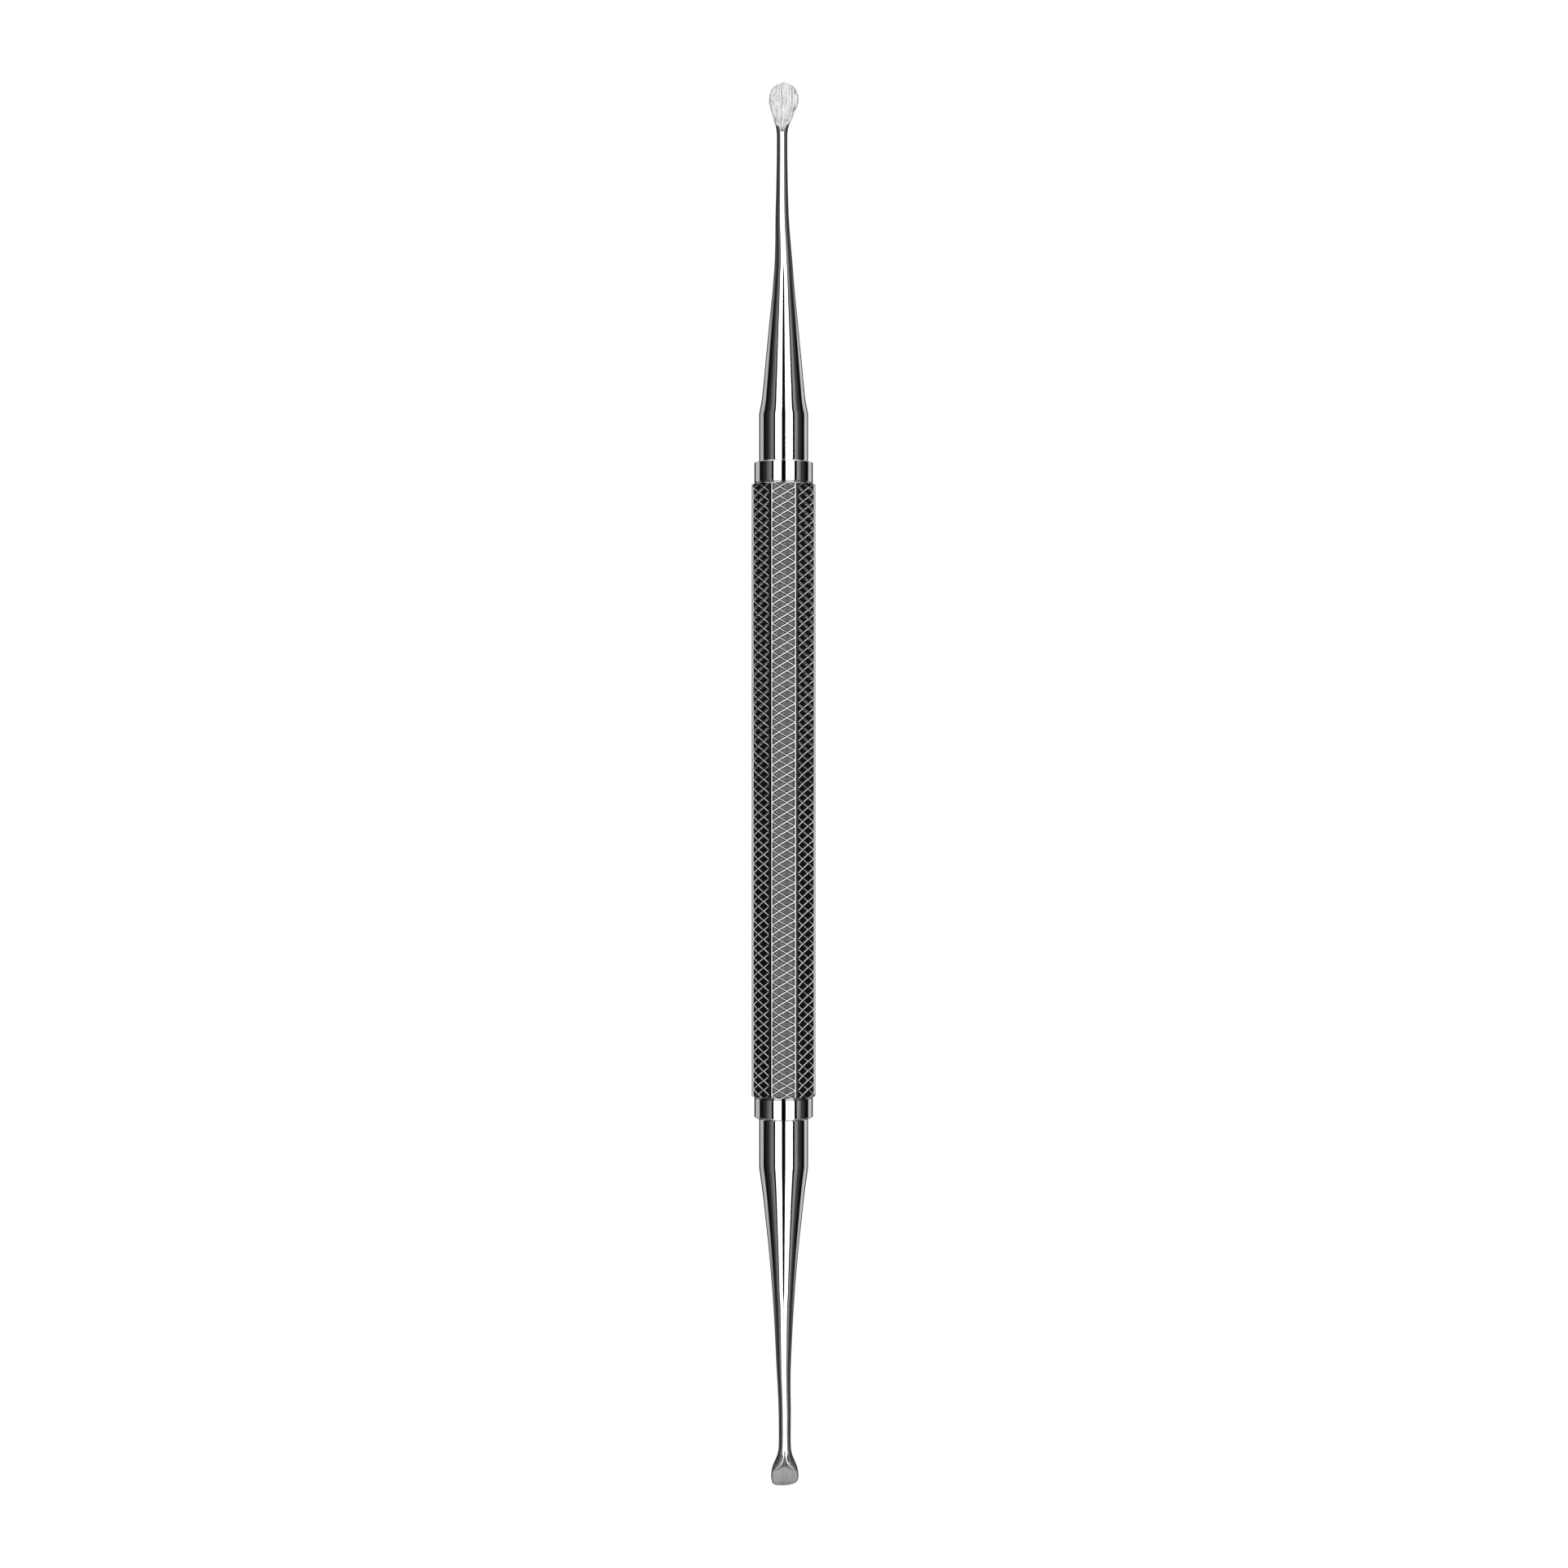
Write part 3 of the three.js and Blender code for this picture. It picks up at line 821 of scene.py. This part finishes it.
# Grooves of the rasp: place across the paddle, depth, and how broken each one is along its length
RASP_GROOVES = (
    (-1.12, 0.035, 0.9), (-0.95, 0.03, 0.8), (-0.74, 0.035, 0.8), (-0.48, 0.04, 0.45), (-0.21, 0.055, 0.1),
    (-0.02, 0.03, 0.8), (0.14, 0.025, 0.9), (0.31, 0.035, 0.6), (0.6, 0.035, 0.6), (0.89, 0.055, 0.1),
    (1.15, 0.035, 0.6),
)
GROOVE_HALF_WIDTH = 0.06
GROOVE_WANDER = (0.06, 0.02)  # how far a groove wanders sideways, slowly and quickly along its length


def rasp_groove(x, y, side):
    """How deep the rasp is cut at a place, from 0 to 1 of the deepest cut."""
    cut = 0.0
    for number, (place, depth, broken) in enumerate(RASP_GROOVES):
        seed = number * 5.17 + side * 31
        slow, quick = GROOVE_WANDER
        wander = slow * noise_at(seed, y * 0.9, 0) + quick * noise_at(seed, y * 4, 3)
        squeeze = mix(0.45, 1.0, smooth(y, RASP_START, 70.2))
        offset = x - (place + wander) * squeeze
        held = clamp(1 - broken + 1.6 * broken * (noise_at(seed, y * 1.7, 9) + 0.35))
        across = math.exp(-((offset / (GROOVE_HALF_WIDTH * squeeze)) ** 2))
        cut = max(cut, depth / DEEPEST_GROOVE * held * across)
    return cut


def rasp_face(name, node, side, material):
    """The coat on one face of the paddle, wrapping round its edge, with grooves and nodules in it."""
    shape = Shape()
    rings = []
    for i in range(RASP_ROWS + 1):
        y = mix(RASP_START, FILE_TIP - 0.01, quarter_sine(i / RASP_ROWS))
        share = follow(RASP_REACH, y)
        crown = follow(PADDLE_FLAT, y) + RASP_THICKNESS * smooth(y, RASP_START - 0.2, RASP_START + 0.2)
        thick = crown * math.sqrt(clamp((FILE_TIP + 0.1 - y) / 0.5))
        end = 1 - smooth(y, RASP_START, RASP_START + 0.55)
        streaks = mix(3.0, 1.0, smooth(y, 67.9, 69.9))
        ring = []
        for k in range(RASP_COLUMNS + 1):
            angle = math.pi * (k / RASP_COLUMNS - 0.5)
            u = math.copysign(abs(math.sin(angle)) ** 0.8, angle)
            x = max(0.05, paddle_half_width(y, u > 0) * share) * u
            body = thick * max(0.0, 1 - abs(u) ** (4 + 8 * end)) ** 0.4
            cut = rasp_groove(x, y, side)
            lump = noise_at(x * 3.1 + side, y * 2.0, side * 5.0)
            streak = streaks * noise_at(x * 6.5, y * 0.9, side * 3.0 + 8)
            fine = noise_at(x * 11.0, y * 5.0, side * 3.0 + 8)
            rise = LUMP_HEIGHT * lump + STREAK_HEIGHT * streak + GRAIN_HEIGHT * fine - DEEPEST_GROOVE * cut
            ragged = RAGGED_EDGE * noise_at(y * 3.5, u, side * 7.0)
            edge_x = file_sway(y) + x * (1 + (rise + ragged) / PADDLE_HALF_WIDTH)
            # Painted shade greys the grooves and the coat's rolled edge, the coat is greyer towards its root
            # end, raised streaks are painted lighter as highlight, and the fine grain varies the tone
            tone = clamp(0.1 + 0.7 * cut - 0.3 * streak + 0.55 * fine + 0.75 * end + 0.35 * abs(u) ** 10)
            ring.append(shape.point(edge_x, y, side * (body * (1 + rise / COAT_LEVEL)), tone))
        for k in range(RASP_BACK_COLUMNS):
            reach = mix(0.96, -0.96, (k + 0.5) / RASP_BACK_COLUMNS)
            x = max(0.05, paddle_half_width(y, reach > 0) * share) * reach
            ring.append(shape.point(file_sway(y) + x, y, side * 0.01))
        rings.append(ring)
    shape.loft(rings)
    return shape.piece(name, material, "file_grit", node, crease=80)


def scoop_tint(u, y, dish):
    """How satin, and how darkened with painted shade, the scoop is at a share u of its half width, where its
    bowl is dished by dish.
    """
    # Painted shade along the lip and the rolled sides of the bowl
    rim = max(smooth(y, 71.9, 72.02), smooth(abs(u), 0.84, 0.92) * smooth(y, 70.6, 71.4))
    body = 0.53 * smooth(y, 69.75, 70.3) + 0.07 * smooth(y, 70.6, 71.8) + 0.12 * rim
    # Painted shade: the dark spot where the bowl dips below the neck
    spot = 0.85 * smooth(dish, 0.05, 0.5) * smooth(y, 68.6, 69.6) * (1 - smooth(y, 70.35, 70.65))
    start = mix(0.7, 0.42, smooth(y, 68.2, 69.6)) + 0.2 * smooth(y, 70.1, 70.6)
    # Painted shade on the flanks, darkest between the neck and the bowl
    flank = mix(SCOOP_SATIN_SHADE, 0.87, smooth(y, 68.2, 69.6)) * (1 - smooth(y, 70.6, 71.3))
    flank *= smooth(abs(u), start, start + 0.16)
    return max(body, spot, flank)


def scoop_shank(material):
    """The lower shank. Its scoop has a bowl in the upper face, and a lip nearly square to the tool."""
    shape = Shape()
    rings = base_rings(shape, GRIP_BOTTOM - COLLAR_LENGTH, -1)
    neck = SCOOP_TAPER[-1][0]
    for y in taper_places(SCOOP_TAPER_START, neck):
        radius, satin_shade = follow(SCOOP_TAPER, y), neck_satin_shade(y, SCOOP_SATIN_SHADE)
        sway = SCOOP_SWAY * smooth(y, 59.5, 65.5)
        rings.append(circle(shape, -y, radius, x=sway, crest=neck_crest(y), satin_shade=satin_shade))
    for i in range(1, SCOOP_STEPS + 1):
        y = mix(neck, SCOOP_TIP - 0.004, quarter_sine(i / SCOOP_STEPS))
        along = clamp((y - SCOOP_ROOT) / (SCOOP_TIP - SCOOP_ROOT))
        past = clamp((y - SCOOP_WIDEST) / (SCOOP_TIP - SCOOP_WIDEST))
        wide = follow(SCOOP_OUTLINE, y)
        thick = mix(SCOOP_NECK, SCOOP_THICKNESS, smooth(along, 0.3, 0.75)) - SCOOP_LIP_THINNING * past ** 3
        bowl, reach = follow(BOWL_DEPTH, y), follow(BOWL_REACH, y)
        tent = SCOOP_TENT * smooth(y, 68.8, 69.8) * (1 - smooth(y, 70.3, 71.0))
        ring = []
        for k in range(ROUND_SIDES):
            angle = 2 * math.pi * k / ROUND_SIDES
            u, rise = section(angle, neck_crest(y))
            dish = max(0.0, 1 - abs(u / reach) ** 3) ** 2 if rise > 0 else 0.0
            rise = mix(rise, 1 - abs(u), tent) if rise > 0 else rise
            x = SCOOP_SWAY - SCOOP_SKEW * past ** 4 + wide * u
            z = SCOOP_LIFT * along * along + rise * thick - bowl * dish
            ring.append(shape.point(x, -y, z, scoop_tint(u, y, dish)))
        rings.append(ring)
    shape.loft(rings)
    return shape.piece("polished_scoop_shank", material, "polished_steel", "scoop_shank", crease=60)


# ---------------------------------------------------------------- studio

# Brightness of the studio as the polished steel shows it, by angle round the tool's axis from straight up,
# in degrees. A black gap overhead lies between two broad white panels, each with a dark line and dark cloth
# beyond it and a paler floor below. The two sides differ a little.
STUDIO_LEFT = (
    (0, 0.0), (8.4, 0.0), (9.8, 1.7), (38.2, 1.7), (39, 0.0), (47.5, 0.0), (49, 0.2), (58, 0.13),
    (75, 0.022), (96, 0.004), (108, 0.001), (110.5, 0.37), (142, 0.42), (144, 0.015), (170, 0.015),
    (176, 0.4),
)
STUDIO_RIGHT = (
    (0, 0.0), (8.4, 0.0), (9.8, 1.7), (42, 1.7), (42.8, 0.0), (52.5, 0.0), (54, 0.26), (69, 0.15),
    (71, 0.05), (96, 0.005), (113, 0.001), (115, 0.42), (142, 0.5), (144, 0.03), (170, 0.03),
    (176, 0.4),
)
STUDIO_STRENGTH = 1.75
STUDIO_HORIZON = -0.1  # below this height a direction from the tool meets the floor at either end
END_FADE = ((0.56, 0.0), (0.66, 1.0))  # how far along a direction points where a side gives way to an end
# The ends of the studio, by how far a direction points sideways: the foot end is bright only near the middle
FOOT_END = ((0.1, 0.0), (0.13, 1.0), (0.5, 1.0), (0.58, 0.12))
HEAD_END = ((0.06, 0.1), (0.1, 1.1))
HEAD_FLOOR, FOOT_FLOOR = 0.27, 0.17


def studio_world():
    world = bpy.data.worlds.new("studio")
    bpy.context.scene.world = world
    world.use_nodes = True
    nodes, links = world.node_tree.nodes, world.node_tree.links
    nodes.clear()
    place = nodes.new("ShaderNodeTexCoord")
    split = nodes.new("ShaderNodeSeparateXYZ")
    links.new(place.outputs["Generated"], split.inputs["Vector"])
    across, along, up = split.outputs
    turn = math_node(nodes, links, "ARCTAN2", across, up)
    turn = math_node(nodes, links, "ABSOLUTE", turn, 0.0)
    turn = math_node(nodes, links, "DIVIDE", turn, math.pi)
    left = ramp_node(nodes, links, turn, [(angle / 180, value) for angle, value in STUDIO_LEFT])
    right = ramp_node(nodes, links, turn, [(angle / 180, value) for angle, value in STUDIO_RIGHT])
    side = mix_node(nodes, links, math_node(nodes, links, "GREATER_THAN", across, 0.0), left, right)
    aside = math_node(nodes, links, "ABSOLUTE", across, 0.0)
    above = math_node(nodes, links, "GREATER_THAN", up, STUDIO_HORIZON)
    head_end = ramp_node(nodes, links, along, END_FADE)
    head = mix_node(nodes, links, above, (HEAD_FLOOR,) * 3, ramp_node(nodes, links, aside, HEAD_END))
    foot_end = ramp_node(nodes, links, math_node(nodes, links, "MULTIPLY", along, -1.0), END_FADE)
    foot = mix_node(nodes, links, above, (FOOT_FLOOR,) * 3, ramp_node(nodes, links, aside, FOOT_END))
    light = mix_node(nodes, links, head_end, side, head)
    light = mix_node(nodes, links, foot_end, light, foot)
    panels = nodes.new("ShaderNodeBackground")
    panels.inputs["Strength"].default_value = STUDIO_STRENGTH
    links.new(light, panels.inputs["Color"])
    backdrop = nodes.new("ShaderNodeBackground")
    backdrop.inputs["Color"].default_value = (1, 1, 1, 1)
    rays = nodes.new("ShaderNodeLightPath")
    choose = nodes.new("ShaderNodeMixShader")
    links.new(rays.outputs["Is Camera Ray"], choose.inputs["Fac"])
    links.new(panels.outputs["Background"], choose.inputs[1])
    links.new(backdrop.outputs["Background"], choose.inputs[2])
    output = nodes.new("ShaderNodeOutputWorld")
    links.new(choose.outputs["Shader"], output.inputs["Surface"])


FLOOR_HALF = 1500  # half width of the floor


def pale_floor():
    mesh = bpy.data.meshes.new("floor")
    half = FLOOR_HALF * MM
    corners = [(-half, -half, 0), (half, -half, 0), (half, half, 0), (-half, half, 0)]
    mesh.from_pydata(corners, [], [(0, 1, 2, 3)])
    mesh.materials.append(floor_material())
    floor = bpy.data.objects.new("floor", mesh)
    bpy.context.scene.collection.objects.link(floor)
    floor.visible_glossy = False


CAMERA_HEIGHT = 330  # above the tool's axis
CAMERA_ASIDE = 0.04
FOCAL_LENGTH = 73.4


def photo_camera():
    """Straight down on the tool, file end up."""
    lens = bpy.data.cameras.new("camera")
    lens.lens = FOCAL_LENGTH
    lens.clip_start = 0.01
    camera = bpy.data.objects.new("camera", lens)
    camera.location = (CAMERA_ASIDE * MM, 0, (AXIS_HEIGHT + CAMERA_HEIGHT) * MM)
    bpy.context.scene.collection.objects.link(camera)
    bpy.context.scene.camera = camera


# ---------------------------------------------------------------- the scene

turned_steel = polished_steel("turned_steel", (30, 1, 30), 0.05)
drawn_steel = polished_steel("drawn_steel", (1, 14, 1), 0.07)
knurl = knurled_steel()
coat = rasp_coat()

knurled_grip(knurl)
collar("file_end_polished_collar", "file_end_collar", GRIP_TOP, 1, 0.06, turned_steel)
collar("scoop_end_polished_collar", "scoop_end_collar", GRIP_BOTTOM, -1, 0.2, turned_steel)
file_shank(drawn_steel)
scoop_shank(drawn_steel)
rasp_face("rasp_front", "file_grit_front", 1, coat)
rasp_face("rasp_back", "file_grit_back", -1, coat)

pale_floor()
studio_world()
photo_camera()
bpy.context.scene.view_settings.view_transform = "Standard"
